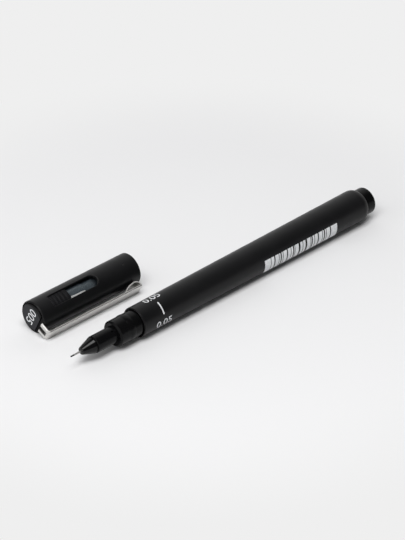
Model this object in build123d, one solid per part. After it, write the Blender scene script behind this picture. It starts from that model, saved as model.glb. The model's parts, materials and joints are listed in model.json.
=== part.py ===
from build123d import *
import os
from math import acos, atan, atan2, cos, degrees, hypot, isclose, sin, sqrt

# Fineliner pen lying on a table with its cap beside it. Millimetres, +Z up, +X from the nib to the tail.

# Writing tip
NIB_OUT = 1.2
NIB_D = 0.44
PIPE_OUT = 2.8
PIPE_D = 0.62
PIPE_IN = 5.0
CONE_LEN = 4.3
CONE_FRONT_D = 2.3
CONE_BASE_D = 5.1
CONE_FRONT_ROUND = 0.3
SEAM_LEN = 0.45
SEAM_DEPTH = 0.35
CONE_SPIGOT_D = 3.6
CONE_SPIGOT_LEN = 4.0

# Front section: neck, collar and the spigot in the barrel
NECK_LEN = 7.7
NECK_D = 5.4
NECK_EDGE = 0.2
COLLAR_LEN = 8.85
COLLAR_STEP = 0.2
COLLAR_CHAMFER = 0.5
BEAD_FROM_FRONT = 5.0
BEAD_LEN = 2.2
BEAD_HEIGHT = 0.12
SPIGOT_LEN = 14.0
SPIGOT_WALL = 0.85
CHAMBER_LEN = 18.0
VENT_D = 0.5
VENT_TO_COLLAR = 1.3
VENT_TURN = 30.0

# Barrel and tail plug
BARREL_LEN = 97.4
BARREL_FRONT_WALL = 0.53
BARREL_LIP = 0.3
SOCKET_DEPTH = 1.2
SOCKET_GAP = 0.15
SHOULDER_LEN = 2.1
SHOULDER_DROP = 0.79
SHOULDER_RIM = 0.2
PLUG_OUT = 3.7
PLUG_STEP = 0.43
PLUG_DEPTH = 7.0
PLUG_END_WALL = 1.2
PLUG_END_ROUND = 0.4
PLUG_NOSE_LEN = 3.0
PLUG_NOSE_D = 6.6
PLUG_CAVITY_D = 5.0

# Ink store
FEED_D = 2.4
FEED_IN_RESERVOIR = 6.0
NIB_IN_FEED = 2.0
RESERVOIR_D = 7.2
WRAP_WALL = 0.25
STORE_GAP = 0.1

# Cap
CAP_LEN = 39.1
CAP_WALL = 0.77
BEAD_CLEARANCE = 0.16
BORE_STEP = 0.2
CAP_END_RIM = 0.35
CAP_END_ROUND = 0.4
CAP_MOUTH_ROUND = 0.25
SLOT_W = 3.9
SLOT_START = 5.1
SLOT_LEN = 18.4
SLOT_CORNER = 0.7
SLOT_RIM = 0.18
BADGE_THICK = 1.2
BADGE_PROUD = 0.2
BADGE_CHORD = 2.55
BADGE_GAP = 0.3
BADGE_EDGE = 0.2
PAD_LEN = 7.2
PAD_RECESS = 0.3
PAD_GAP = 0.12
RIBS = 5
RIB_PITCH = 1.36
RIB_GROOVE = 0.3
RIB_HEIGHT = 0.3
END_PLUG_CAVITY_D = 5.0
END_PLUG_WALL = 3.5
INNER_CAP_GAP = 0.35
INNER_CAP_WALL = 0.75
INNER_CAP_STEP = 0.4
INNER_CAP_WIDE = 6.0
INNER_CAP_BAND = 4.6
SEAL_LIP = 1.8
SEAL_GAP = 0.25
COLLAR_STOP_GAP = 0.5
GATE_FROM_MOUTH = 4.8
GATE_R = 0.33
GATE_DEPTH = 0.1

# Clip
SHEET = 0.6
CLIP_W = 4.0
CLIP_GAP = 1.9
CLIP_LEN = 37.5
CLIP_EDGE_ROUND = 0.25
CLIP_INNER_ROUND = 0.18
CLIP_END_ROUND = 0.5
CLIP_BEND_R = 1.3
LOOP_LEN = 6.8
LOOP_PEAK = 1.5
LOOP_SHEET = 0.4
LOOP_GAP = 0.2
LOOP_END = 0.2
LEG_SLOT_W = 1.6
LEG_SLOT_LEN = 2.9
TANG_W = 2.8
TANG_GAP = 0.12
TANG_END_GAP = 0.3

# Where the cap lies beside the pen
CAP_ASIDE = 22.8
CAP_BEHIND_NIB = 5.4

# Stations along the pen, from the nib's point
X_PIPE = NIB_OUT
X_CONE = X_PIPE + PIPE_OUT
X_SEAM = X_CONE + CONE_LEN
X_NECK = X_SEAM + SEAM_LEN
X_COLLAR = X_NECK + NECK_LEN
X_BARREL = X_COLLAR + COLLAR_LEN
X_REAR = X_BARREL + BARREL_LEN
X_END = X_REAR + PLUG_OUT
X_PIPE_END = X_CONE + PIPE_IN
X_SEAT = X_BARREL + SOCKET_DEPTH
X_STORE = X_SEAT + SPIGOT_LEN
X_PLUG_SEAT = X_REAR - PLUG_DEPTH
X_STORE_END = X_PLUG_SEAT - PLUG_NOSE_LEN
X_BEAD = X_COLLAR + BEAD_FROM_FRONT

# Diameters that follow one another from the ink store outwards
BARREL_BORE_D = RESERVOIR_D + 2 * (WRAP_WALL + STORE_GAP)
CHAMBER_D = BARREL_BORE_D - 2 * SPIGOT_WALL
COLLAR_D = BARREL_BORE_D + 2 * COLLAR_STEP
SOCKET_D = COLLAR_D + 2 * SOCKET_GAP
BARREL_FRONT_D = SOCKET_D + 2 * BARREL_FRONT_WALL
PLUG_D = BARREL_BORE_D + 2 * PLUG_STEP
SHOULDER_D = PLUG_D + 2 * SHOULDER_RIM
BARREL_REAR_D = SHOULDER_D + 2 * SHOULDER_DROP

# Sizes of the cap that follow from the pen
MOUTH_BORE_D = COLLAR_D + 2 * (BEAD_HEIGHT + BEAD_CLEARANCE)
CAP_BORE_D = MOUTH_BORE_D - 2 * BORE_STEP
CAP_D = MOUTH_BORE_D + 2 * CAP_WALL
CAP_R = CAP_D / 2
BADGE_SEAT_D = CAP_D - 2 * CAP_END_RIM
BADGE_D = BADGE_SEAT_D - 2 * BADGE_GAP
INNER_CAP_D = CAP_BORE_D - 2 * INNER_CAP_GAP
SEAL_D = NECK_D + 2 * SEAL_GAP
BADGE_SEAT = BADGE_THICK - BADGE_PROUD
PAD_END = SLOT_START + PAD_LEN
INNER_CAP_END = CAP_LEN - COLLAR_LEN - COLLAR_STOP_GAP
CLIP_IN = CAP_R + CLIP_GAP
CLIP_OUT = CLIP_IN + SHEET
OUTER_ROUND = min(CLIP_EDGE_ROUND, 0.6 * SHEET)
INNER_ROUND = min(CLIP_INNER_ROUND, 0.35 * SHEET)
TANG_LEN = BADGE_SEAT - TANG_END_GAP
LEG_ROOT = sqrt((BADGE_SEAT_D / 2 - TANG_GAP) ** 2 - (TANG_W / 2) ** 2) - SHEET

ON_BASE = (Align.CENTER, Align.CENTER, Align.MIN)


def turned(*pieces):
    """Solid of revolution about X from the closed outline of (x, radius) that the curves make."""
    edges = [edge for piece in pieces for edge in piece.edges()]
    return revolve(make_face(edges), Axis.X)


def rod(x0, x1, d):
    """Solid cylinder along X."""
    return Plane((x0, 0, 0), z_dir=(1, 0, 0)) * Cylinder(d / 2, x1 - x0, align=ON_BASE)


def tube(x0, x1, outer_d, inner_d):
    """Hollow cylinder along X."""
    return rod(x0, x1, outer_d) - rod(x0, x1, inner_d)


def ring(part, x, d):
    """Round edges of diameter d that lie at station x."""
    def at_station(edge):
        return isclose(edge.radius, d / 2, abs_tol=1e-4) and isclose(edge.arc_center.X, x, abs_tol=1e-4)
    return part.edges().filter_by(GeomType.CIRCLE).filter_by(at_station)


def block(x0, x1, y0, y1, z0, z1):
    """Box between two corners."""
    return Pos(x0, y0, z0) * Box(x1 - x0, y1 - y0, z1 - z0, align=Align.MIN)


def make_nib():
    point = rod(0, X_PIPE_END + NIB_IN_FEED, NIB_D)
    return fillet(ring(point, 0, NIB_D), NIB_D * 0.35)


def make_nib_pipe():
    return tube(X_PIPE, X_PIPE_END, PIPE_D, NIB_D)


def make_nib_cone():
    """Cone with a seam behind it, a spigot in the neck, the pipe's hole and the feed's socket."""
    front, base, spigot = CONE_FRONT_D / 2, CONE_BASE_D / 2, CONE_SPIGOT_D / 2
    seam = base - SEAM_DEPTH
    x_spigot = X_NECK + CONE_SPIGOT_LEN
    cone = turned(Polyline(
        (X_CONE, 0), (X_CONE, front), (X_SEAM, base), (X_SEAM, seam), (X_NECK, seam), (X_NECK, spigot),
        (x_spigot, spigot), (x_spigot, 0), close=True))
    cone = fillet(ring(cone, X_CONE, CONE_FRONT_D), CONE_FRONT_ROUND)
    cone -= rod(X_CONE, X_PIPE_END, PIPE_D)
    return cone - rod(X_PIPE_END, x_spigot, FEED_D)


def make_front_section():
    """Neck, collar with its snap bead, and the spigot pressed into the barrel."""
    neck, collar, spigot = NECK_D / 2, COLLAR_D / 2, BARREL_BORE_D / 2
    x_bore = X_NECK + CONE_SPIGOT_LEN
    x_chamber = X_STORE - CHAMBER_LEN
    outside = Polyline(
        (X_NECK, CONE_SPIGOT_D / 2), (X_NECK, neck - NECK_EDGE), (X_NECK + NECK_EDGE, neck),
        (X_COLLAR, neck), (X_COLLAR, collar - COLLAR_CHAMFER), (X_COLLAR + COLLAR_CHAMFER, collar),
        (X_BEAD - BEAD_LEN / 2, collar))
    bead = ThreePointArc((X_BEAD - BEAD_LEN / 2, collar), (X_BEAD, collar + BEAD_HEIGHT),
                         (X_BEAD + BEAD_LEN / 2, collar))
    inside = Polyline(
        (X_BEAD + BEAD_LEN / 2, collar), (X_SEAT, collar), (X_SEAT, spigot), (X_STORE, spigot),
        (X_STORE, CHAMBER_D / 2), (x_chamber, CHAMBER_D / 2), (x_chamber, FEED_D / 2), (x_bore, FEED_D / 2),
        (x_bore, CONE_SPIGOT_D / 2), (X_NECK, CONE_SPIGOT_D / 2))
    section = turned(outside, bead, inside)
    vent = Pos(X_COLLAR - VENT_TO_COLLAR, 0, FEED_D / 2) * Cylinder(VENT_D / 2, neck, align=ON_BASE)
    return section - Rot(VENT_TURN, 0, 0) * vent


def make_barrel():
    """Tapered tube with a socket for the collar at the front and a round shoulder at the tail."""
    front, rear, bore, socket = BARREL_FRONT_D / 2, BARREL_REAR_D / 2, BARREL_BORE_D / 2, SOCKET_D / 2
    outside = Polyline((X_BARREL, socket), (X_BARREL, front), (X_REAR - SHOULDER_LEN, rear))
    shoulder = TangentArc((X_REAR - SHOULDER_LEN, rear), (X_REAR, SHOULDER_D / 2), tangent=(1, 0))
    inside = Polyline(
        (X_REAR, SHOULDER_D / 2), (X_REAR, bore), (X_SEAT, bore), (X_SEAT, socket), (X_BARREL, socket))
    barrel = turned(outside, shoulder, inside)
    lip = min(BARREL_LIP, 0.45 * BARREL_FRONT_WALL)
    return fillet(ring(barrel, X_BARREL, BARREL_FRONT_D) + ring(barrel, X_BARREL, SOCKET_D), lip)


def make_tail_plug():
    """Post on the barrel's rear face, a spigot in the bore, and a nose that holds the ink store."""
    post, spigot, nose, cavity = PLUG_D / 2, BARREL_BORE_D / 2, PLUG_NOSE_D / 2, PLUG_CAVITY_D / 2
    x_wall = X_END - PLUG_END_WALL
    plug = turned(Polyline(
        (X_STORE_END, cavity), (X_STORE_END, nose), (X_PLUG_SEAT, nose), (X_PLUG_SEAT, spigot),
        (X_REAR, spigot), (X_REAR, post), (X_END, post), (X_END, 0), (x_wall, 0), (x_wall, cavity),
        close=True))
    return fillet(ring(plug, X_END, PLUG_D), PLUG_END_ROUND)


def make_ink_feed():
    feed = rod(X_PIPE_END, X_STORE + FEED_IN_RESERVOIR, FEED_D)
    return feed - rod(X_PIPE_END, X_PIPE_END + NIB_IN_FEED, NIB_D)


def make_ink_reservoir():
    return rod(X_STORE, X_STORE_END, RESERVOIR_D) - rod(X_STORE, X_STORE + FEED_IN_RESERVOIR, FEED_D)


def make_reservoir_wrap():
    return tube(X_STORE, X_STORE_END, RESERVOIR_D + 2 * WRAP_WALL, RESERVOIR_D)


def slot_prism(margin):
    """Prism of the slot's outline towards +Y, drawn in by a margin."""
    x0, x1 = SLOT_START + margin, SLOT_START + SLOT_LEN - margin
    width = SLOT_W - 2 * margin
    outline = Plane.XZ * Pos((x0 + x1) / 2, 0) * RectangleRounded(x1 - x0, width, SLOT_CORNER)
    round_end = Plane.XZ * Pos(x1 - width / 2, 0) * Circle(width / 2)
    square_end = Plane.XZ * Pos((x0 + x1 - width / 2) / 2, 0) * Rectangle(x1 - width / 2 - x0, width)
    return extrude((outline & square_end) + round_end, -CAP_D)


def make_cap_shell():
    """Sleeve with the badge's seat, a wider bore at the mouth, the slot in its side and a gate mark."""
    shell = tube(0, CAP_LEN, CAP_D, CAP_BORE_D) - rod(0, BADGE_SEAT, BADGE_SEAT_D)
    shell -= rod(INNER_CAP_END, CAP_LEN, MOUTH_BORE_D)
    shell = fillet(ring(shell, 0, CAP_D), min(CAP_END_ROUND, 0.9 * CAP_END_RIM))
    mouth_round = min(CAP_MOUTH_ROUND, 0.45 * CAP_WALL)
    shell = fillet(ring(shell, CAP_LEN, CAP_D) + ring(shell, CAP_LEN, MOUTH_BORE_D), mouth_round)
    shell -= slot_prism(0)

    def on_slot_rim(edge):
        c = edge.position_at(0.5)
        outside = isclose(hypot(c.Y, c.Z), CAP_R, abs_tol=1e-3)
        return outside and c.Y > 0 and SLOT_START - 0.01 < c.X < SLOT_START + SLOT_LEN + 0.01

    shell = fillet(shell.edges().filter_by(on_slot_rim), SLOT_RIM)
    ball_r = (GATE_R ** 2 + GATE_DEPTH ** 2) / (2 * GATE_DEPTH)
    return shell - Pos(CAP_LEN - GATE_FROM_MOUTH, CAP_R + ball_r - GATE_DEPTH, 0) * Sphere(ball_r)


def ribbed_rod():
    """Round bar with round ribs near the closed end and a smooth land beside the window."""
    crest = CAP_R - PAD_RECESS
    valley = crest - RIB_HEIGHT
    x_rib = SLOT_START + PAD_GAP
    rib_w = RIB_PITCH - RIB_GROOVE
    outline = [Line((x_rib, 0), (x_rib, valley))]
    for i in range(RIBS):
        x0 = x_rib + RIB_PITCH * i
        outline.append(ThreePointArc((x0, valley), (x0 + rib_w / 2, crest), (x0 + rib_w, valley)))
        outline.append(Line((x0 + rib_w, valley), (x0 + RIB_PITCH, valley)))
    x_land = x_rib + RIB_PITCH * RIBS
    outline.append(Polyline((x_land, valley), (PAD_END, valley), (PAD_END, 0), (x_rib, 0)))
    return turned(*outline)


def make_cap_end_plug():
    """Plug in the cap's closed end, with the clip's pocket and the ribbed tongue that snaps into the slot."""
    plug = rod(BADGE_SEAT, PAD_END, CAP_BORE_D) - rod(BADGE_SEAT + END_PLUG_WALL, PAD_END, END_PLUG_CAVITY_D)
    beyond_chord = block(0, BADGE_SEAT, -CAP_R, CAP_R, BADGE_CHORD + BADGE_GAP, CAP_R)
    plug += rod(0, BADGE_SEAT, BADGE_SEAT_D) & beyond_chord
    plug += (ribbed_rod() & slot_prism(PAD_GAP)) - rod(SLOT_START, PAD_END, CAP_BORE_D - PAD_GAP)
    half = TANG_W / 2 + TANG_GAP
    return plug - block(0, TANG_LEN + TANG_GAP, -half, half, LEG_ROOT - TANG_GAP, CAP_R)


def make_cap_badge():
    """D-shaped disc whose straight side faces the clip."""
    disc = rod(-BADGE_PROUD, BADGE_SEAT, BADGE_D)
    disc = fillet(ring(disc, -BADGE_PROUD, BADGE_D), BADGE_EDGE)
    return disc - block(-BADGE_PROUD, BADGE_SEAT, -BADGE_D, BADGE_D, BADGE_CHORD, BADGE_D)


def make_inner_cap():
    """Clear sealing sleeve: closed behind the tongue, with a lip that seals on the neck."""
    wide, band, lip = INNER_CAP_D / 2, CAP_BORE_D / 2, SEAL_D / 2
    narrow = wide - INNER_CAP_STEP
    inside = wide - INNER_CAP_WALL
    x_step = PAD_END + INNER_CAP_WIDE
    x_band = INNER_CAP_END - INNER_CAP_BAND
    x_lip = INNER_CAP_END - SEAL_LIP
    x_inside = PAD_END + INNER_CAP_WALL
    return turned(Polyline(
        (PAD_END, 0), (PAD_END, wide), (x_step, wide), (x_step, narrow), (x_band, narrow), (x_band, band),
        (INNER_CAP_END, band), (INNER_CAP_END, lip), (x_lip, lip), (x_lip, inside), (x_inside, inside),
        (x_inside, 0), close=True))


def loop_side(margin):
    """Side view of the end loop on the strip's inner face, with feet sunk in it, drawn in by a margin."""
    height = CLIP_GAP - LOOP_GAP
    reach = LOOP_LEN - LOOP_END - LOOP_PEAK
    radius = (reach ** 2 + height ** 2) / (2 * height)
    x_peak = CLIP_LEN - LOOP_END - LOOP_PEAK
    z_centre = CLIP_IN - height + radius
    r = radius - margin
    half = sqrt(r ** 2 - (radius - height) ** 2)
    middle = atan2(half, radius - height) / 2
    rise = ThreePointArc((x_peak - half, CLIP_IN), (x_peak - r * sin(middle), z_centre - r * cos(middle)),
                         (x_peak, z_centre - r))
    fall = EllipticalCenterArc((x_peak, CLIP_IN), LOOP_PEAK - margin, height - margin, 270, arc_size=90)
    x_left, x_right = x_peak - half, x_peak + LOOP_PEAK - margin
    z_foot = CLIP_IN + INNER_ROUND
    feet = Polyline((x_right, CLIP_IN), (x_right, z_foot), (x_left, z_foot), (x_left, CLIP_IN))
    return make_face([edge for piece in (rise, fall, feet) for edge in piece.edges()])


def clip_plan():
    """Upright block as long and wide as the strip, with its corners rounded at the free end."""
    plan = block(-SHEET, CLIP_LEN, -CLIP_W / 2, CLIP_W / 2, 0, CLIP_OUT)
    return fillet(plan.edges().filter_by(Axis.Z).group_by(Axis.X)[-1], CLIP_END_ROUND)


def make_clip():
    """Strip bent from sheet: forked leg on the cap's end with two tangs in the plug, loop at the free end."""
    inner_r = CLIP_BEND_R - SHEET
    z_bend = CLIP_OUT - CLIP_BEND_R
    x_bend = inner_r
    outer_bend = TangentArc((-SHEET, z_bend), (x_bend, CLIP_OUT), tangent=(0, 1))
    strip = Polyline((x_bend, CLIP_OUT), (CLIP_LEN, CLIP_OUT), (CLIP_LEN, CLIP_IN), (x_bend, CLIP_IN))
    inner_bend = TangentArc((x_bend, CLIP_IN), (0, z_bend), tangent=(-1, 0))
    leg = Polyline((0, z_bend), (0, LEG_ROOT), (-SHEET, LEG_ROOT), (-SHEET, z_bend))
    edges = [edge for piece in (outer_bend, strip, inner_bend, leg) for edge in piece.edges()]
    clip = extrude(Plane.XZ * make_face(edges), CLIP_W / 2, both=True) & clip_plan()

    def along_side(edge):
        return isclose(abs(edge.position_at(0.5).Y), CLIP_W / 2, abs_tol=1e-4)

    def on_outside(edge):
        c = edge.position_at(0.5)
        flat = isclose(c.Z, CLIP_OUT, abs_tol=1e-4) or isclose(c.X, -SHEET, abs_tol=1e-4)
        bent = isclose(hypot(c.X - x_bend, c.Z - z_bend), CLIP_BEND_R, abs_tol=1e-4) and c.X < x_bend
        return flat or bent

    def on_strip_inside(edge):
        return isclose(edge.position_at(0.5).Z, CLIP_IN, abs_tol=1e-4)

    clip = fillet(clip.edges().filter_by(along_side).filter_by(on_outside), OUTER_ROUND)
    clip = fillet(clip.edges().filter_by(along_side).filter_by(on_strip_inside), INNER_ROUND)
    loop = extrude(Plane.XZ * loop_side(0), CLIP_W / 2, both=True)
    loop -= extrude(Plane.XZ * loop_side(LOOP_SHEET), CLIP_W / 2, both=True)
    clip += loop & clip_plan()
    clip += block(0, TANG_LEN, -TANG_W / 2, TANG_W / 2, LEG_ROOT, LEG_ROOT + SHEET)
    slot_depth = max(inner_r, TANG_LEN)
    return clip - block(-SHEET, slot_depth, -LEG_SLOT_W / 2, LEG_SLOT_W / 2, LEG_ROOT, LEG_ROOT + LEG_SLOT_LEN)


def clip_turn():
    """Turn of the clip from straight up at which the cap and the clip's edge both lie on the table."""
    out, half = CLIP_OUT - OUTER_ROUND, CLIP_W / 2 - OUTER_ROUND
    return degrees(acos(-(CAP_R - OUTER_ROUND) / hypot(out, half)) - atan2(half, out))


TAPER_LEN = BARREL_LEN - SHOULDER_LEN
PEN_TILT = atan((BARREL_REAR_D - BARREL_FRONT_D) / 2 / TAPER_LEN)
PEN_LIFT = BARREL_FRONT_D / 2 * cos(PEN_TILT) - X_BARREL * sin(PEN_TILT)
PEN_PLACE = Pos(0, 0, PEN_LIFT) * Rot(0, -degrees(PEN_TILT), 0)
CAP_PLACE = Pos(CAP_BEHIND_NIB, CAP_ASIDE, CAP_R) * Rot(clip_turn(), 0, 0)

NODES = {
    "nib": PEN_PLACE * make_nib(),
    "nib_pipe": PEN_PLACE * make_nib_pipe(),
    "nib_cone": PEN_PLACE * make_nib_cone(),
    "front_section": PEN_PLACE * make_front_section(),
    "barrel": PEN_PLACE * make_barrel(),
    "tail_plug": PEN_PLACE * make_tail_plug(),
    "ink_feed": PEN_PLACE * make_ink_feed(),
    "ink_reservoir": PEN_PLACE * make_ink_reservoir(),
    "reservoir_wrap": PEN_PLACE * make_reservoir_wrap(),
    "cap_shell": CAP_PLACE * make_cap_shell(),
    "cap_end_plug": CAP_PLACE * make_cap_end_plug(),
    "cap_badge": CAP_PLACE * make_cap_badge(),
    "inner_cap": CAP_PLACE * make_inner_cap(),
    "clip": CAP_PLACE * make_clip(),
}

# The origin is the centre of the whole part's box, at table height.
BOX = Compound(children=[solid for node in NODES.values() for solid in node.solids()]).bounding_box()
ORIGIN = Pos(-(BOX.min.X + BOX.max.X) / 2, -(BOX.min.Y + BOX.max.Y) / 2, -BOX.min.Z)

os.makedirs("parts", exist_ok=True)
for name, node in NODES.items():
    export_step(ORIGIN * node, f"parts/{name}.step")
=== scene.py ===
"""Looks of a fineliner pen with its cap beside it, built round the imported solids. Metres, +Z up."""

import json
import logging
import math
from contextlib import contextmanager
from dataclasses import dataclass
from enum import Enum
from typing import Callable, Iterator

import bpy
from mathutils import Matrix, Vector


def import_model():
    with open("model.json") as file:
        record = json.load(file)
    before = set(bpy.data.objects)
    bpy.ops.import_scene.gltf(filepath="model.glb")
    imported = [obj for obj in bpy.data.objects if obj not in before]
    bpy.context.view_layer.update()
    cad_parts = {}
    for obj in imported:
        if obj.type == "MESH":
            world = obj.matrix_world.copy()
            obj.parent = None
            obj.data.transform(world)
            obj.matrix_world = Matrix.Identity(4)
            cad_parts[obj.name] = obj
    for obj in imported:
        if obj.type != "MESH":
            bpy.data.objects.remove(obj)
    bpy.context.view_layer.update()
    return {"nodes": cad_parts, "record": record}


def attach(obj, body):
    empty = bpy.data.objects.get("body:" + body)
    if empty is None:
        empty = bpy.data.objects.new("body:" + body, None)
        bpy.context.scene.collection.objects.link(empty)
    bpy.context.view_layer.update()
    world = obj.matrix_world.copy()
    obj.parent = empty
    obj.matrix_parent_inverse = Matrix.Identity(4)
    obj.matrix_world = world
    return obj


MM = 0.001
log = logging.getLogger("pen")

Rgb = tuple[float, float, float]
Point = tuple[float, float, float]
Span = tuple[float, float]
Nodes = dict[str, bpy.types.Object]
Socket = bpy.types.NodeSocket


class Body(Enum):
    """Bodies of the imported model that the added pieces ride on."""

    PEN = "pen"
    CAP = "cap"


class Pick(Enum):
    """Elements of a mesh that can be selected."""

    FACE = "FACE"
    VERTEX = "VERT"


class Grow(Enum):
    """Side of a flat piece to which its thickness goes."""

    INWARDS = -1.0
    OUTWARDS = 1.0


class Op(Enum):
    """Operations of a math node."""

    ABSOLUTE = "ABSOLUTE"
    ADD = "ADD"
    COMPARE = "COMPARE"
    MAXIMUM = "MAXIMUM"
    MULTIPLY = "MULTIPLY"
    POWER = "POWER"
    ROOT = "SQRT"
    SUBTRACT = "SUBTRACT"


def named(rows: list[dict], name: str) -> dict:
    """Row of one of the record's lists that has the given name."""
    return next(row for row in rows if row["name"] == name)


@dataclass(frozen=True)
class Place:
    """Own frame of the pen or of the cap: X along its axis, Y and Z across it."""

    matrix: Matrix

    @classmethod
    def of_pen(cls, record: dict, length: float) -> "Place":
        """Frame of the pen, with its origin at the point of the nib.

        Args:
            record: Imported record.
            length: Length of the pen from the point to the tail's end.

        Returns:
            The pen's frame.
        """
        tail = named(record["mounts"], "tail_end")
        along = Vector(tail["axis"]).normalized()
        across = Vector((0, 1, 0))
        return cls.from_axes(Vector(tail["pos_m"]) - along * length, along, across)

    @classmethod
    def of_cap(cls, record: dict, mouth_middle: float) -> "Place":
        """Frame of the cap, with its origin at the closed end and its Z towards the clip.

        Args:
            record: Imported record.
            mouth_middle: Distance from the closed end to the middle of the mouth's bore.

        Returns:
            The cap's frame.
        """
        mouth = named(record["mounts"], "cap_mouth")
        flex = named(record["behaviour"]["joints"], "clip_flex")
        along = Vector(mouth["axis"]).normalized()
        return cls.from_axes(Vector(mouth["pos_m"]) - along * mouth_middle, along, -Vector(flex["axis"]))

    @classmethod
    def from_axes(cls, origin: Vector, along: Vector, across: Vector) -> "Place":
        """Frame from its origin, its X and a Y that is square to it.

        Args:
            origin: Origin in the row frame.
            along: Direction of X.
            across: Direction of Y.

        Returns:
            The frame.
        """
        up = along.cross(across).normalized()
        turn = Matrix((along, up.cross(along), up)).transposed().to_4x4()
        return cls(Matrix.Translation(origin) @ turn)

    def on_round(self, along: float, turn: float, radius: float) -> Matrix:
        """Place of a flat piece on the round surface: its X along the axis, its Z outwards.

        Args:
            along: Distance along the axis.
            turn: Degrees round the axis, from Z towards -Y.
            radius: Distance from the axis.

        Returns:
            Matrix from the flat piece to the row frame.
        """
        spin = Matrix.Rotation(math.radians(turn), 4, "X")
        return self.matrix @ Matrix.Translation((along, 0, 0)) @ spin @ Matrix.Translation((0, 0, radius))

    def on_end(self, along: float, up: float) -> Matrix:
        """Place of a flat piece on the closed end: its Y towards the clip, its Z out of the end.

        Args:
            along: Distance along the axis.
            up: Distance from the axis towards the clip.

        Returns:
            Matrix from the flat piece to the row frame.
        """
        face = Matrix(((0, 0, -1, 0), (-1, 0, 0, 0), (0, 1, 0, 0), (0, 0, 0, 1)))
        return self.matrix @ Matrix.Translation((along, 0, up)) @ face


class Bench:
    """Steps of hand modelling, each on one object alone."""

    @staticmethod
    def clear() -> None:
        """Leaves nothing selected."""
        for obj in list(bpy.context.selected_objects):
            obj.select_set(False)
        bpy.context.view_layer.objects.active = None

    @staticmethod
    def take(obj: bpy.types.Object) -> None:
        """Makes one object the only selected one and the active one.

        Args:
            obj: Object to take.
        """
        Bench.clear()
        obj.select_set(True)
        bpy.context.view_layer.objects.active = obj

    @staticmethod
    @contextmanager
    def editing(obj: bpy.types.Object) -> Iterator[None]:
        """Edit mode on one object, with everything selected.

        Args:
            obj: Object to edit.

        Returns:
            Context that leaves edit mode at its end.
        """
        Bench.take(obj)
        bpy.ops.object.mode_set(mode="EDIT")
        bpy.ops.mesh.select_all(action="SELECT")
        yield
        bpy.ops.object.mode_set(mode="OBJECT")

    @staticmethod
    def pick(obj: bpy.types.Object, kind: Pick, wanted: Callable[..., bool]) -> None:
        """Selects only the faces or vertices that a test wants, in edit mode.

        Args:
            obj: Object in edit mode.
            kind: What to select.
            wanted: Test of one face or vertex.
        """
        bpy.ops.mesh.select_mode(type=kind.value)
        bpy.ops.mesh.select_all(action="DESELECT")
        bpy.ops.object.mode_set(mode="OBJECT")
        elements = obj.data.polygons if kind is Pick.FACE else obj.data.vertices
        for element in elements:
            element.select = wanted(element)
        bpy.ops.object.mode_set(mode="EDIT")

    @staticmethod
    def settle(obj: bpy.types.Object, place: Matrix) -> None:
        """Puts an object in its place and moves that place into its mesh.

        Args:
            obj: Object to place.
            place: Matrix from the object's mesh to the row frame.
        """
        obj.matrix_world = place
        Bench.take(obj)
        bpy.ops.object.transform_apply(location=True, rotation=True, scale=True)

    @staticmethod
    def apply(obj: bpy.types.Object) -> None:
        """Applies every modifier of an object, in order.

        Args:
            obj: Object to finish.
        """
        Bench.take(obj)
        for name in [modifier.name for modifier in obj.modifiers]:
            bpy.ops.object.modifier_apply(modifier=name)

    @staticmethod
    def thicken(obj: bpy.types.Object, film: float, grow: Grow) -> None:
        """Makes a film of a flat piece.

        Args:
            obj: Flat piece, with or without modifiers.
            film: Thickness of the film.
            grow: Side to which the thickness goes.
        """
        body = obj.modifiers.new("film", "SOLIDIFY")
        body.thickness = film
        body.offset = grow.value
        Bench.apply(obj)

    @staticmethod
    def lay_on(obj: bpy.types.Object, ground: bpy.types.Object, lift: float, film: float) -> None:
        """Lays a flat piece on a surface as a thin film.

        Args:
            obj: Flat piece that lies just off the surface.
            ground: Object whose surface takes it.
            lift: Height of the film's top above the surface.
            film: Thickness of the film.
        """
        wrap = obj.modifiers.new("wrap", "SHRINKWRAP")
        wrap.target = ground
        wrap.wrap_method = "NEAREST_SURFACEPOINT"
        wrap.wrap_mode = "ABOVE_SURFACE"
        wrap.offset = lift
        Bench.thicken(obj, film, Grow.INWARDS)


def smooth_step(tree: bpy.types.NodeTree, source: Socket, start: float, end: float) -> Socket:
    """Adds a smooth step from 0 to 1 to a node tree.

    Args:
        tree: Node tree of a material or of the world.
        source: Socket to read.
        start: Value at which the step is 0.
        end: Value at which the step is 1.

    Returns:
        Socket with values from 0 to 1.
    """
    node = tree.nodes.new("ShaderNodeMapRange")
    node.interpolation_type = "SMOOTHSTEP"
    node.inputs["From Min"].default_value = start
    node.inputs["From Max"].default_value = end
    tree.links.new(source, node.inputs["Value"])
    return node.outputs["Result"]


@dataclass(frozen=True)
class Grain:
    """Fineness of a noise pattern.

    Attributes:
        scale: Features per metre.
        stretch: Scale of the coordinates along X, Y and Z.
        detail: Octaves.
    """

    scale: float
    stretch: Point = (1.0, 1.0, 1.0)
    detail: float = 2.0


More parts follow.
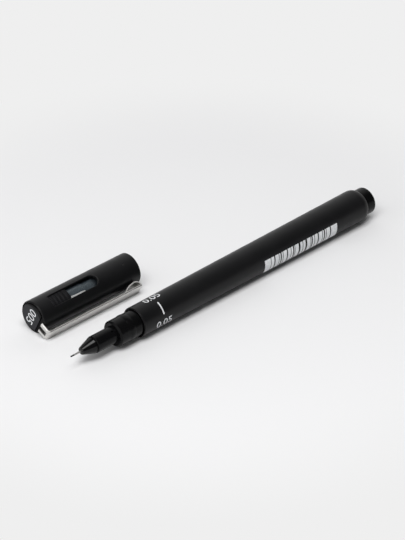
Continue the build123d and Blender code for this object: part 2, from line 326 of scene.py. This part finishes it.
class Shader:
    """Node tree of one material: a Principled shader and the nodes that feed it.

    Attributes:
        NOISE_SPAN: Range that holds most values of a noise.
    """

    NOISE_SPAN: Span = (0.3, 0.7)

    def __init__(self, name: str) -> None:
        """Starts a material with a Principled shader.

        Args:
            name: Name of the material.
        """
        self.material = bpy.data.materials.new(name)
        self.material.use_nodes = True
        self.tree = self.material.node_tree
        self.surface = self.tree.nodes["Principled BSDF"]
        self.coordinates = self.tree.nodes.new("ShaderNodeTexCoord")

    def set(self, **sockets: float) -> None:
        """Sets the shader's own sockets; an underscore in a name stands for a space."""
        for name, value in sockets.items():
            self.surface.inputs[name.replace("_", " ")].default_value = value

    def noise(self, grain: Grain) -> Socket:
        """Noise over the object's coordinates.

        Args:
            grain: Its fineness.

        Returns:
            Socket with values about 0.5.
        """
        mapping = self.tree.nodes.new("ShaderNodeMapping")
        mapping.inputs["Scale"].default_value = grain.stretch
        texture = self.tree.nodes.new("ShaderNodeTexNoise")
        texture.inputs["Scale"].default_value = grain.scale
        texture.inputs["Detail"].default_value = grain.detail
        self.tree.links.new(self.coordinates.outputs["Object"], mapping.inputs["Vector"])
        self.tree.links.new(mapping.outputs["Vector"], texture.inputs["Vector"])
        return texture.outputs["Fac"]

    def colour(self, source: Socket, dark: Rgb, light: Rgb) -> Socket:
        """Base colour that drifts between two tones.

        Args:
            source: Socket with a noise.
            dark: Linear RGB at the low end of the noise's span.
            light: Linear RGB at the high end.

        Returns:
            Socket with the colour.
        """
        ramp = self.tree.nodes.new("ShaderNodeValToRGB")
        for element, position, tone in zip(ramp.color_ramp.elements, self.NOISE_SPAN, (dark, light)):
            element.position = position
            element.color = (*tone, 1.0)
        self.tree.links.new(source, ramp.inputs["Fac"])
        self.tree.links.new(ramp.outputs["Color"], self.surface.inputs["Base Color"])
        return ramp.outputs["Color"]

    def stain(self, source: Socket, tone: Rgb, share: Socket) -> Socket:
        """Base colour that turns to another tone in places.

        Args:
            source: Socket with the colour so far.
            tone: Linear RGB where the share is 1.
            share: Socket with values from 0 to 1.

        Returns:
            Socket with the new colour.
        """
        mix = self.tree.nodes.new("ShaderNodeMix")
        mix.data_type = "RGBA"
        mix.inputs["B"].default_value = (*tone, 1.0)
        self.tree.links.new(share, mix.inputs["Factor"])
        self.tree.links.new(source, mix.inputs["A"])
        self.tree.links.new(mix.outputs["Result"], self.surface.inputs["Base Color"])
        return mix.outputs["Result"]

    def hollow(self, reach: float, deep: float, shallow: float) -> Socket:
        """Share that is 1 deep in the piece's own hollows.

        Args:
            reach: Width of a hollow that counts, in metres.
            deep: Openness at which a hollow is deep.
            shallow: Openness at which there is no hollow.

        Returns:
            Socket with values from 0 to 1.
        """
        node = self.tree.nodes.new("ShaderNodeAmbientOcclusion")
        node.only_local = True
        node.inputs["Distance"].default_value = reach
        return self.step(node.outputs["AO"], shallow, deep)

    def step(self, source: Socket, start: float, end: float) -> Socket:
        """Smooth step from 0 at the start value to 1 at the end value."""
        return smooth_step(self.tree, source, start, end)

    def math(self, kind: Op, *values: Socket | float) -> Socket:
        """Math node on sockets and numbers.

        Args:
            kind: Operation.
            values: Its inputs in order.

        Returns:
            Socket with the result.
        """
        node = self.tree.nodes.new("ShaderNodeMath")
        node.operation = kind.value
        for slot, value in zip(node.inputs, values):
            if isinstance(value, Socket):
                self.tree.links.new(value, slot)
            else:
                slot.default_value = value
        return node.outputs["Value"]

    def local(self, place: Place) -> bpy.types.NodeOutputs:
        """Coordinates in the pen's or the cap's own frame.

        Args:
            place: That frame.

        Returns:
            Sockets X, Y and Z.
        """
        mapping = self.tree.nodes.new("ShaderNodeMapping")
        mapping.vector_type = "TEXTURE"
        mapping.inputs["Location"].default_value = place.matrix.to_translation()
        mapping.inputs["Rotation"].default_value = place.matrix.to_euler()
        axes = self.tree.nodes.new("ShaderNodeSeparateXYZ")
        self.tree.links.new(self.coordinates.outputs["Object"], mapping.inputs["Vector"])
        self.tree.links.new(mapping.outputs["Vector"], axes.inputs["Vector"])
        return axes.outputs

    def rough(self, source: Socket, low: float, high: float) -> Socket:
        """Roughness that drifts between two values.

        Args:
            source: Socket with a noise.
            low: Roughness at the low end of the noise's span.
            high: Roughness at the high end.

        Returns:
            Socket with the roughness.
        """
        node = self.tree.nodes.new("ShaderNodeMapRange")
        node.inputs["From Min"].default_value, node.inputs["From Max"].default_value = self.NOISE_SPAN
        node.inputs["To Min"].default_value = low
        node.inputs["To Max"].default_value = high
        self.tree.links.new(source, node.inputs["Value"])
        self.tree.links.new(node.outputs["Result"], self.surface.inputs["Roughness"])
        return node.outputs["Result"]

    def bump(self, source: Socket, depth: float, strength: float) -> None:
        """Relief of a given depth.

        Args:
            source: Socket with the height.
            depth: Height that 1 stands for, in metres.
            strength: Share of the relief that shows.
        """
        node = self.tree.nodes.new("ShaderNodeBump")
        node.inputs["Distance"].default_value = depth
        node.inputs["Strength"].default_value = strength
        self.tree.links.new(source, node.inputs["Height"])
        self.tree.links.new(node.outputs["Normal"], self.surface.inputs["Normal"])


@dataclass(frozen=True)
class MouldedPlastic:
    """Injection-moulded plastic with a fine spark-eroded grain.

    Attributes:
        drift: Lightest tone over the darkest.
        end_span: Distances from the cap's closed end at which the painted shade starts and is full.
        border_middle: Middle of the border's circle, to the window's side and towards the clip.
        border_span: Distances from that middle at which the shade starts and is full.
    """

    name: str
    tone: Rgb = (0.0050, 0.0050, 0.0054)
    drift: float = 1.4
    cloud: Grain = Grain(90.0, detail=3.0)
    roughness: Span = (0.35, 0.43)
    polish: Grain = Grain(400.0, detail=4.0)
    specular: float = 0.19
    refraction: float = 1.5
    grain: Grain = Grain(9000.0)
    depth: float = 0.012 * MM
    strength: float = 0.35
    shade: Rgb = (0.0015, 0.0015, 0.0016)
    end_span: Span = (3.0 * MM, 1.5 * MM)
    border_middle: Span = (-0.9 * MM, -0.6 * MM)
    border_span: Span = (4.15 * MM, 4.35 * MM)

    def make(self, closed_end: Place | None = None, border: Place | None = None) -> bpy.types.Material:
        """Builds the material.

        Args:
            closed_end: Frame of the cap, where the plastic gets painted shade at the closed end.
            border: Frame of the cap, where the plastic has a darker border.

        Returns:
            The material.
        """
        shader = Shader(self.name)
        plain = shader.colour(shader.noise(self.cloud), self.tone, tuple(c * self.drift for c in self.tone))
        if closed_end is not None:
            # Painted shade: the plastic darkens towards the cap's closed end.
            at_end = shader.step(shader.local(closed_end)["X"], *self.end_span)
            shader.stain(plain, self.shade, at_end)
        if border is not None:
            axes = shader.local(border)
            aside = shader.math(Op.SUBTRACT, axes["Y"], self.border_middle[0])
            up = shader.math(Op.SUBTRACT, axes["Z"], self.border_middle[1])
            square = shader.math(Op.ADD, shader.math(Op.POWER, aside, 2.0), shader.math(Op.POWER, up, 2.0))
            at_border = shader.step(shader.math(Op.ROOT, square), *self.border_span)
            shader.stain(plain, self.shade, at_border)
        shader.rough(shader.noise(self.polish), *self.roughness)
        shader.bump(shader.noise(self.grain), self.depth, self.strength)
        shader.set(IOR=self.refraction, Specular_IOR_Level=self.specular)
        return shader.material


@dataclass(frozen=True)
class BrushedSteel:
    """Sheet steel brushed along its length, with painted shade that darkens its hollows.

    Attributes:
        reach: Width of a hollow that counts.
        deep: Openness at which a hollow gets the full painted shade.
        shallow: Openness at which there is no painted shade.
        sheared_middle: Distance of the sheared edges from the cap's axis, across it and towards the clip.
        sheared_half: Half the size of the sheared edges in those two directions.
    """

    name: str
    dark: Rgb = (0.62, 0.61, 0.59)
    light: Rgb = (0.68, 0.67, 0.65)
    streaks: Grain = Grain(1800.0, stretch=(0.02, 1.0, 1.0))
    roughness: Span = (0.27, 0.33)
    strokes: Grain = Grain(9000.0, stretch=(0.02, 1.0, 1.0), detail=3.0)
    depth: float = 0.002 * MM
    strength: float = 0.04
    hollow_shade: Rgb = (0.06, 0.055, 0.05)
    reach: float = 1.5 * MM
    deep: float = 0.22
    shallow: float = 0.52
    sheared_middle: Span = (2.0 * MM, 7.52 * MM)
    sheared_half: Span = (0.15 * MM, 0.09 * MM)
    edge_shade_tone: Rgb = (0.20, 0.195, 0.185)
    sheared_rough: float = 0.48

    def make(self, sheet: Place | None = None) -> bpy.types.Material:
        """Builds the material.

        Args:
            sheet: Frame of the cap, where the steel is a sheet whose sheared long edges are rougher and
                carry a painted shade line.

        Returns:
            The material.
        """
        shader = Shader(self.name)
        strokes = shader.noise(self.strokes)
        bare = shader.colour(shader.noise(self.streaks), self.dark, self.light)
        # Painted shade: the steel darkens in its own hollows, where it is shaded.
        hollow_shaded = shader.stain(bare, self.hollow_shade, shader.hollow(self.reach, self.deep, self.shallow))
        brushed = shader.rough(strokes, *self.roughness)
        if sheet is not None:
            axes = shader.local(sheet)
            width = shader.math(Op.ABSOLUTE, axes["Y"])
            aside = shader.math(Op.COMPARE, width, self.sheared_middle[0], self.sheared_half[0])
            up = shader.math(Op.COMPARE, axes["Z"], self.sheared_middle[1], self.sheared_half[1])
            # Painted shade: a dark line along the sheared edges, where the rounded edge reflects dark
            # surroundings.
            shader.stain(hollow_shaded, self.edge_shade_tone, shader.math(Op.MULTIPLY, aside, up))
            torn = shader.math(Op.MULTIPLY, aside, self.sheared_rough)
            dull = shader.math(Op.MAXIMUM, brushed, torn)
            shader.tree.links.new(dull, shader.surface.inputs["Roughness"])
        shader.bump(strokes, self.depth, self.strength)
        shader.set(Metallic=1.0)
        return shader.material


@dataclass(frozen=True)
class ClearPlastic:
    """Clear moulded plastic with a faint haze that flows along the pen.

    Attributes:
        flow: Waves in the surface along the moulding's flow.
        shade_under_rim: Heights towards the clip at which the shade under the rim starts and is full.
        shade_at_end: Distances from the cap's closed end at which the shade starts and is full.
    """

    name: str
    dark: Rgb = (0.11, 0.14, 0.16)
    light: Rgb = (0.15, 0.18, 0.20)
    haze: Grain = Grain(500.0, stretch=(0.3, 1.0, 1.0), detail=3.0)
    roughness: Span = (0.08, 0.20)
    polish: Grain = Grain(900.0, stretch=(0.2, 1.0, 1.0), detail=3.0)
    flow: Grain = Grain(600.0, stretch=(0.15, 1.0, 1.0))
    depth: float = 0.02 * MM
    strength: float = 0.3
    refraction: float = 1.49
    transmission: float = 0.6
    shade: Rgb = (0.03, 0.037, 0.045)
    shade_under_rim: Span = (-1.05 * MM, -1.45 * MM)
    shade_at_end: Span = (21.5 * MM, 23.5 * MM)

    def make(self, window: Place | None = None) -> bpy.types.Material:
        """Builds the material.

        Args:
            window: Frame of the cap, where the plastic shows in a window that shades it.

        Returns:
            The material.
        """
        shader = Shader(self.name)
        haze = shader.colour(shader.noise(self.haze), self.dark, self.light)
        if window is not None:
            axes = shader.local(window)
            under_rim = shader.step(axes["Z"], *self.shade_under_rim)
            at_end = shader.step(axes["X"], *self.shade_at_end)
            shader.stain(haze, self.shade, shader.math(Op.MAXIMUM, under_rim, at_end))
        shader.rough(shader.noise(self.polish), *self.roughness)
        shader.bump(shader.noise(self.flow), self.depth, self.strength)
        shader.set(IOR=self.refraction, Transmission_Weight=self.transmission)
        return shader.material


@dataclass(frozen=True)
class PrintedInk:
    """Thin opaque ink of a pad print."""

    name: str
    dark: Rgb = (0.66, 0.68, 0.70)
    light: Rgb = (0.81, 0.82, 0.83)
    blots: Grain = Grain(1800.0, detail=3.0)
    roughness: Span = (0.42, 0.58)
    tooth: Grain = Grain(6000.0)
    depth: float = 0.005 * MM
    strength: float = 0.4

    def make(self) -> bpy.types.Material:
        """Builds the material.

        Returns:
            The material.
        """
        shader = Shader(self.name)
        blots = shader.noise(self.blots)
        shader.colour(blots, self.dark, self.light)
        shader.rough(blots, *self.roughness)
        shader.bump(shader.noise(self.tooth), self.depth, self.strength)
        return shader.material


@dataclass(frozen=True)
class InkedFibre:
    """Bundle of bonded fibres that run along the pen, dark with ink."""

    name: str
    dark: Rgb = (0.006, 0.006, 0.007)
    light: Rgb = (0.03, 0.03, 0.034)
    strands: Grain = Grain(12000.0, stretch=(0.05, 1.0, 1.0))
    roughness: Span = (0.6, 0.85)
    depth: float = 0.03 * MM
    strength: float = 0.5

    def make(self) -> bpy.types.Material:
        """Builds the material.

        Returns:
            The material.
        """
        shader = Shader(self.name)
        strands = shader.noise(self.strands)
        shader.colour(strands, self.dark, self.light)
        shader.rough(strands, *self.roughness)
        shader.bump(strands, self.depth, self.strength)
        return shader.material


class Finishes:
    """Materials of the pen, each made once."""

    def __init__(self, cap_place: Place) -> None:
        """Makes every finish.

        Args:
            cap_place: The cap's frame.
        """
        self.matte_black = MouldedPlastic("matte_black").make()
        self.satin_black = MouldedPlastic(
            "satin_black",
            tone=(0.0026, 0.0026, 0.0028),
            roughness=(0.19, 0.24),
            specular=0.115,
            strength=0.02,
        ).make()
        self.gloss_black = MouldedPlastic(
            "gloss_black",
            tone=(0.0022, 0.0022, 0.0024),
            roughness=(0.11, 0.15),
            specular=0.25,
            strength=0.02,
        ).make()
        self.plug_black = MouldedPlastic(
            "plug_black",
            tone=(0.0078, 0.0078, 0.0086),
            roughness=(0.42, 0.50),
            specular=0.06,
            strength=0.1,
        ).make(closed_end=cap_place)
        self.badge_grey = MouldedPlastic(
            "badge_grey",
            tone=(0.023, 0.0238, 0.0265),
            roughness=(0.30, 0.38),
            specular=0.08,
            strength=0.1,
        ).make(border=cap_place)
        self.clip_steel = BrushedSteel("clip_steel").make(sheet=cap_place)
        self.pipe_steel = BrushedSteel("pipe_steel", roughness=(0.25, 0.38)).make()
        self.window = ClearPlastic("window_clear").make(window=cap_place)
        # Painted glint: pale, nearly opaque plastic for the strip that stands in for a streak of light in
        # the window.
        self.painted_glint = ClearPlastic(
            "window_painted_glint",
            dark=(0.52, 0.52, 0.51),
            light=(0.62, 0.62, 0.61),
            transmission=0.1,
        ).make()
        self.film = ClearPlastic(
            "store_film",
            dark=(0.6, 0.6, 0.6),
            light=(0.7, 0.7, 0.7),
            transmission=0.8,
        ).make()
        self.white_ink = PrintedInk("white_ink").make()
        self.nib_fibre = InkedFibre("nib_fibre", light=(0.02, 0.02, 0.022)).make()
        self.ink_fibre = InkedFibre("ink_fibre").make()


def dress(obj: bpy.types.Object, material: bpy.types.Material) -> None:
    """Gives a piece, a node or the floor its one material."""
    obj.data.materials.clear()
    obj.data.materials.append(material)


def dress_nodes(nodes: Nodes, chosen: dict[str, bpy.types.Material]) -> None:
    """Gives each node that is named the material chosen for it."""
    for name, material in chosen.items():
        dress(nodes[name], material)


@dataclass(frozen=True)
class Digits:
    """Flat printed digits, cut into narrow rows so that they can lie on a round surface.

    Attributes:
        font_share: Height of a digit over the font's size.
        curve_steps: Straight pieces in each stretch of a round outline.
        merge_distance: Distance within which doubled points become one.
    """

    words: str
    height: float
    font_share: float = 0.72
    curve_steps: int = 8
    rows: int = 10
    merge_distance: float = 1e-7

    def build(self, name: str) -> bpy.types.Object:
        """Models the digits, centred on the origin.

        Args:
            name: Name of the piece.

        Returns:
            The digits as a flat mesh.
        """
        Bench.clear()
        bpy.ops.object.text_add()
        text = bpy.context.object
        text.name = name
        text.data.body = self.words
        text.data.size = self.height / self.font_share
        text.data.align_x = "CENTER"
        text.data.align_y = "CENTER"
        text.data.resolution_u = self.curve_steps
        bpy.ops.object.convert(target="MESH")
        flat = bpy.context.object
        with Bench.editing(flat):
            bpy.ops.mesh.remove_doubles(threshold=self.merge_distance)
            for row in range(1, self.rows):
                level = self.height * (row / self.rows - 0.5)
                bpy.ops.mesh.select_all(action="SELECT")
                bpy.ops.mesh.bisect(plane_co=(0, level, 0), plane_no=(0, 1, 0))
        return flat


@dataclass
class BarrelPrints:
    """Size numbers, ticks and the striped panel printed on the barrel.

    Turns and spans are degrees round the barrel. The panel is cut into modules along the pen. Its dark
    stripes are the modules at set places in two periods, between two plain borders.

    Attributes:
        lift: Height of the ink's top above the barrel.
        film: Thickness of the ink.
        start_radius: Distance from the axis, clear of the barrel, from which a flat piece is laid on it.
        strip_rows: Divisions of a tick or of the panel round the barrel.
    """

    number: Digits = Digits("0.05", 2.7 * MM)
    lift: float = 0.02 * MM
    film: float = 0.012 * MM
    start_radius: float = 5.5 * MM
    strip_rows: int = 16
    face_to_number: float = 7.9 * MM
    number_turns: tuple[float, ...] = (-10.0, 104.0, 224.0)
    tick_turns: tuple[float, ...] = (46.0, 154.0, 287.0)
    tick_spans: tuple[float, ...] = (49.0, 34.0, 49.0)
    tick_width: float = 0.45 * MM
    tick_modules: int = 2
    panel_middle: float = 91.5 * MM
    panel_length: float = 32.0 * MM
    panel_turn: float = 99.0
    panel_span: float = 55.0
    panel_modules: int = 128
    panel_border: int = 10
    thin_period: int = 7
    thin_place: int = 3
    wide_period: int = 11
    wide_places: tuple[int, ...] = (5, 6)

    def build(self, place: Place, barrel: bpy.types.Object, barrel_face: float) -> list[bpy.types.Object]:
        """Models the prints on the barrel.

        Args:
            place: The pen's frame.
            barrel: The barrel's object.
            barrel_face: Distance from the nib's point to the barrel's front face.

        Returns:
            The printed pieces.
        """
        along = barrel_face + self.face_to_number
        pieces = []
        for index, turn in enumerate(self.number_turns, start=1):
            number = self.number.build(f"size_number_{index}")
            self.lay(number, barrel, place.on_round(along, turn, self.start_radius))
            pieces.append(number)
        for index, (turn, span) in enumerate(zip(self.tick_turns, self.tick_spans), start=1):
            tick = self.strip(f"tick_{index}", self.tick_width, span, self.tick_modules)
            self.lay(tick, barrel, place.on_round(along, turn, self.start_radius))
            pieces.append(tick)
        panel = self.strip("stripe_panel", self.panel_length, self.panel_span, self.panel_modules)
        self.cut_stripes(panel)
        self.lay(panel, barrel, place.on_round(self.panel_middle, self.panel_turn, self.start_radius))
        pieces.append(panel)
        return pieces

    def lay(self, piece: bpy.types.Object, barrel: bpy.types.Object, over: Matrix) -> None:
        """Puts a flat piece over its place and lays it on the barrel as a film of ink."""
        Bench.settle(piece, over)
        Bench.lay_on(piece, barrel, self.lift, self.film)

    def strip(self, name: str, length: float, span: float, modules: int) -> bpy.types.Object:
        """Flat strip that covers a span of the barrel once it is laid on it.

        Args:
            name: Name of the piece.
            length: Length along the pen.
            span: Degrees round the barrel.
            modules: Divisions along the pen.

        Returns:
            The strip.
        """
        Bench.clear()
        bpy.ops.mesh.primitive_grid_add(x_subdivisions=modules, y_subdivisions=self.strip_rows, size=1.0)
        obj = bpy.context.object
        obj.name = name
        width = 2 * self.start_radius * math.tan(math.radians(span / 2))
        obj.scale = (length, width, 1.0)
        bpy.ops.object.transform_apply(scale=True)
        return obj

    def is_dark(self, face: bpy.types.MeshPolygon) -> bool:
        """Tells whether a face of the flat panel is in a dark stripe.

        Args:
            face: Face of the panel, which is centred on the origin.

        Returns:
            True in a dark stripe.
        """
        step = self.panel_length / self.panel_modules
        module = int((face.center.x + self.panel_length / 2) / step)
        inside = self.panel_border <= module < self.panel_modules - self.panel_border
        thin = module % self.thin_period == self.thin_place
        wide = module % self.wide_period in self.wide_places
        return inside and (thin or wide)

    def cut_stripes(self, panel: bpy.types.Object) -> None:
        """Removes the dark stripes, where the barrel shows.

        Args:
            panel: Flat panel.
        """
        with Bench.editing(panel):
            Bench.pick(panel, Pick.FACE, self.is_dark)
            bpy.ops.mesh.delete(type="FACE")
            bpy.ops.mesh.select_mode(type="VERT")


@dataclass
class Studio:
    """Pale floor, soft light and a camera at the photograph's angle.

    Attributes:
        away: Direction from the camera over the table to the backdrop.
        far_side: Shares of that direction at which the backdrop starts and is full.
        horizon: Rises above level at which the room's pale foot starts and is full.
        floor_fade: Distances from the object's middle at which the backdrop's tone starts and is full.
    """

    eye: Point = (-0.47257, -0.48737, 0.43078)
    target: Point = (0.00237, 0.00104, 0.00008)
    lens: float = 173.3
    sensor: float = 36.0
    view_depth: float = 20.0
    backdrop: Rgb = (0.863, 0.863, 0.863)
    room: Rgb = (0.07, 0.07, 0.073)
    away: Point = (0.70, 0.71, 0.0)
    far_side: Span = (0.32, 0.70)
    horizon: Span = (0.08, 0.04)
    floor_radius: float = 6.0
    floor_sides: int = 96
    floor_tone: Rgb = (0.83, 0.83, 0.835)
    floor_rough: float = 0.9
    floor_fade: Span = (0.072, 0.13)
    lamp_place: Point = (-0.42, -0.26, 1.1)
    lamp_size: Span = (1.1, 0.6)
    lamp_power: float = 12.6
    fill_place: Point = (-0.90, 0.0, 0.55)
    fill_size: Span = (1.6, 1.2)
    fill_power: float = 4.9

    def build(self) -> None:
        """Builds the whole studio."""
        self.add_camera()
        self.add_world()
        self.add_floor()
        self.add_lights()
        bpy.context.scene.view_settings.view_transform = "Standard"

    def add_camera(self) -> None:
        """Adds the camera, level and aimed at its target."""
        data = bpy.data.cameras.new("camera")
        data.lens = self.lens
        data.sensor_width = self.sensor
        data.clip_end = self.view_depth
        camera = bpy.data.objects.new("camera", data)
        bpy.context.scene.collection.objects.link(camera)
        camera.location = self.eye
        look = Vector(self.target) - Vector(self.eye)
        camera.rotation_euler = look.to_track_quat("-Z", "Y").to_euler()
        bpy.context.scene.camera = camera

    def add_world(self) -> None:
        """Adds a room with a pale backdrop behind the table and a dim side behind the camera."""
        world = bpy.data.worlds.new("studio")
        bpy.context.scene.world = world
        world.use_nodes = True
        tree = world.node_tree
        coordinates = tree.nodes.new("ShaderNodeTexCoord")
        towards = tree.nodes.new("ShaderNodeVectorMath")
        towards.operation = "DOT_PRODUCT"
        towards.inputs[1].default_value = self.away
        height = tree.nodes.new("ShaderNodeSeparateXYZ")
        pale = tree.nodes.new("ShaderNodeMath")
        pale.operation = Op.MAXIMUM.value
        tone = tree.nodes.new("ShaderNodeMix")
        tone.data_type = "RGBA"
        tone.inputs["A"].default_value = (*self.room, 1)
        tone.inputs["B"].default_value = (*self.backdrop, 1)
        tree.links.new(coordinates.outputs["Generated"], towards.inputs[0])
        tree.links.new(coordinates.outputs["Generated"], height.inputs["Vector"])
        tree.links.new(smooth_step(tree, towards.outputs["Value"], *self.far_side), pale.inputs[0])
        tree.links.new(smooth_step(tree, height.outputs["Z"], *self.horizon), pale.inputs[1])
        tree.links.new(pale.outputs["Value"], tone.inputs["Factor"])
        tree.links.new(tone.outputs["Result"], tree.nodes["Background"].inputs["Color"])

    def add_floor(self) -> None:
        """Adds the floor, which shows the backdrop's tone away from the object."""
        Bench.clear()
        bpy.ops.mesh.primitive_circle_add(
            vertices=self.floor_sides, radius=self.floor_radius, fill_type="NGON")
        floor = bpy.context.object
        floor.name = "floor"
        material = bpy.data.materials.new("floor_paper")
        material.use_nodes = True
        tree = material.node_tree
        paper = tree.nodes["Principled BSDF"]
        paper.inputs["Base Color"].default_value = (*self.floor_tone, 1)
        paper.inputs["Roughness"].default_value = self.floor_rough
        paper.inputs["Specular IOR Level"].default_value = 0.0
        glow = tree.nodes.new("ShaderNodeEmission")
        glow.inputs["Color"].default_value = (*self.backdrop, 1)
        coordinates = tree.nodes.new("ShaderNodeTexCoord")
        reach = tree.nodes.new("ShaderNodeVectorMath")
        reach.operation = "LENGTH"
        blend = tree.nodes.new("ShaderNodeMixShader")
        tree.links.new(coordinates.outputs["Object"], reach.inputs[0])
        tree.links.new(smooth_step(tree, reach.outputs["Value"], *self.floor_fade), blend.inputs["Fac"])
        tree.links.new(paper.outputs["BSDF"], blend.inputs[1])
        tree.links.new(glow.outputs["Emission"], blend.inputs[2])
        tree.links.new(blend.outputs["Shader"], tree.nodes["Material Output"].inputs["Surface"])
        dress(floor, material)

    def add_lights(self) -> None:
        """Adds a soft box over the table and a weaker one at the nib's side that faces the object."""
        self.add_soft_box("soft_box", self.lamp_place, self.lamp_size, self.lamp_power)
        fill = self.add_soft_box("fill_box", self.fill_place, self.fill_size, self.fill_power)
        fill.rotation_euler = (-Vector(self.fill_place)).to_track_quat("-Z", "Y").to_euler()

    def add_soft_box(self, name: str, place: Point, size: Span, power: float) -> bpy.types.Object:
        """Adds one soft box that faces straight down.

        Args:
            name: Name of the lamp.
            place: Its middle.
            size: Its width and depth.
            power: Watts.

        Returns:
            The lamp.
        """
        data = bpy.data.lights.new(name, "AREA")
        data.shape = "RECTANGLE"
        data.size, data.size_y = size
        data.energy = power
        lamp = bpy.data.objects.new(name, data)
        bpy.context.scene.collection.objects.link(lamp)
        lamp.location = place
        return lamp


@dataclass
class Pen:
    """The pen: writing tip, front section, barrel and tail plug.

    Attributes:
        length: From the nib's point to the end of the tail.
        barrel_face: From the nib's point to the barrel's front face.
    """

    length: float = 126.4 * MM
    barrel_face: float = 25.3 * MM

    def dress(self, nodes: Nodes, finishes: Finishes) -> None:
        """Gives the pen's nodes their finishes.

        Args:
            nodes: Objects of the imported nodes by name.
            finishes: Materials.
        """
        dress_nodes(nodes, {
            "barrel": finishes.matte_black,
            "tail_plug": finishes.satin_black,
            "front_section": finishes.satin_black,
            "nib_cone": finishes.gloss_black,
            "nib_pipe": finishes.pipe_steel,
            "nib": finishes.nib_fibre,
            "ink_feed": finishes.ink_fibre,
            "ink_reservoir": finishes.ink_fibre,
            "reservoir_wrap": finishes.film,
        })

    def add_prints(self, place: Place, nodes: Nodes, finishes: Finishes) -> list[bpy.types.Object]:
        """Prints the barrel.

        Args:
            place: The pen's frame.
            nodes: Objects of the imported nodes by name.
            finishes: Materials.

        Returns:
            The printed pieces.
        """
        pieces = BarrelPrints().build(place, nodes["barrel"], self.barrel_face)
        for piece in pieces:
            dress(piece, finishes.white_ink)
            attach(piece, Body.PEN.value)
        return pieces


@dataclass
class Cap:
    """The cap: shell, ribbed plug, badge, clear inner cap and clip.

    Attributes:
        mouth_middle: From the closed end to the middle of the mouth's bore.
        badge_proud: Height of the badge's face over the closed end.
        number_up: Distance of the number from the axis towards the clip.
        number_aside: Distance of the number from the axis away from the window.
        glint_widths: Width of the pale strip, a painted glint, at its near and its far end.
        glint_turn: Degrees round the cap from the clip.
        glint_off: Distance from the axis, clear of the inner cap, from which the pale strip is laid on it.
    """

    mouth_middle: float = 34.3 * MM
    badge_proud: float = 0.2 * MM
    number: Digits = Digits("005", 2.9 * MM)
    number_up: float = -0.74 * MM
    number_aside: float = 0.4 * MM
    film: float = 0.02 * MM
    glint_middle: float = 15.3 * MM
    glint_length: float = 6.0 * MM
    glint_widths: Span = (0.9 * MM, 0.68 * MM)
    glint_turn: float = -68.6
    glint_off: float = 4.1 * MM
    glint_height: float = 0.1 * MM
    glint_cuts: int = 7

    def dress(self, nodes: Nodes, finishes: Finishes) -> None:
        """Gives the cap's nodes their finishes.

        Args:
            nodes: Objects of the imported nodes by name.
            finishes: Materials.
        """
        dress_nodes(nodes, {
            "cap_shell": finishes.matte_black,
            "cap_end_plug": finishes.plug_black,
            "cap_badge": finishes.badge_grey,
            "inner_cap": finishes.window,
            "clip": finishes.clip_steel,
        })

    def add_number(self, place: Place, finishes: Finishes) -> bpy.types.Object:
        """Prints the size on the badge.

        Args:
            place: The cap's frame.
            finishes: Materials.

        Returns:
            The printed number.
        """
        piece = self.number.build("badge_number")
        Bench.thicken(piece, self.film, Grow.OUTWARDS)
        aside = Matrix.Translation((self.number_aside, 0, 0))
        Bench.settle(piece, place.on_end(-self.badge_proud, self.number_up) @ aside)
        dress(piece, finishes.white_ink)
        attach(piece, Body.CAP.value)
        return piece

    def add_glint_strip(self, place: Place, nodes: Nodes, finishes: Finishes) -> bpy.types.Object:
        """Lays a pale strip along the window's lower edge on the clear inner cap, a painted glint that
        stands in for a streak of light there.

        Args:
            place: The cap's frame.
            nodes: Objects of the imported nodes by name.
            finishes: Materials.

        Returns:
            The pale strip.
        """
        near, far = self.glint_widths
        # Painted glint: a pale strip laid on the inner cap stands in for the bright streak of light along
        # the window.
        Bench.clear()
        bpy.ops.mesh.primitive_plane_add(size=1.0)
        glint_strip = bpy.context.object
        glint_strip.name = "window_glint_strip"
        glint_strip.scale = (self.glint_length, near, 1.0)
        bpy.ops.object.transform_apply(scale=True)
        with Bench.editing(glint_strip):
            Bench.pick(glint_strip, Pick.VERTEX, lambda vertex: vertex.co.x > 0 and vertex.co.y > 0)
            bpy.ops.transform.translate(value=(0, far - near, 0))
            bpy.ops.mesh.select_all(action="SELECT")
            bpy.ops.mesh.subdivide(number_cuts=self.glint_cuts)
        Bench.settle(glint_strip, place.on_round(self.glint_middle, self.glint_turn, self.glint_off))
        Bench.lay_on(glint_strip, nodes["inner_cap"], self.glint_height, self.glint_height)
        dress(glint_strip, finishes.painted_glint)
        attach(glint_strip, Body.CAP.value)
        return glint_strip


def main() -> None:
    """Builds the studio, dresses the pen and its cap, and reports each piece."""
    logging.basicConfig(level=logging.INFO)
    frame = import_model()
    nodes, record = frame["nodes"], frame["record"]
    Studio().build()
    pen, cap = Pen(), Cap()
    cap_place = Place.of_cap(record, cap.mouth_middle)
    finishes = Finishes(cap_place)
    pen.dress(nodes, finishes)
    cap.dress(nodes, finishes)
    pieces = pen.add_prints(Place.of_pen(record, pen.length), nodes, finishes)
    pieces.append(cap.add_number(cap_place, finishes))
    pieces.append(cap.add_glint_strip(cap_place, nodes, finishes))
    for piece in [*nodes.values(), *pieces]:
        log.info("piece %s in %s", piece.name, piece.data.materials[0].name)


if __name__ == "__main__":
    main()
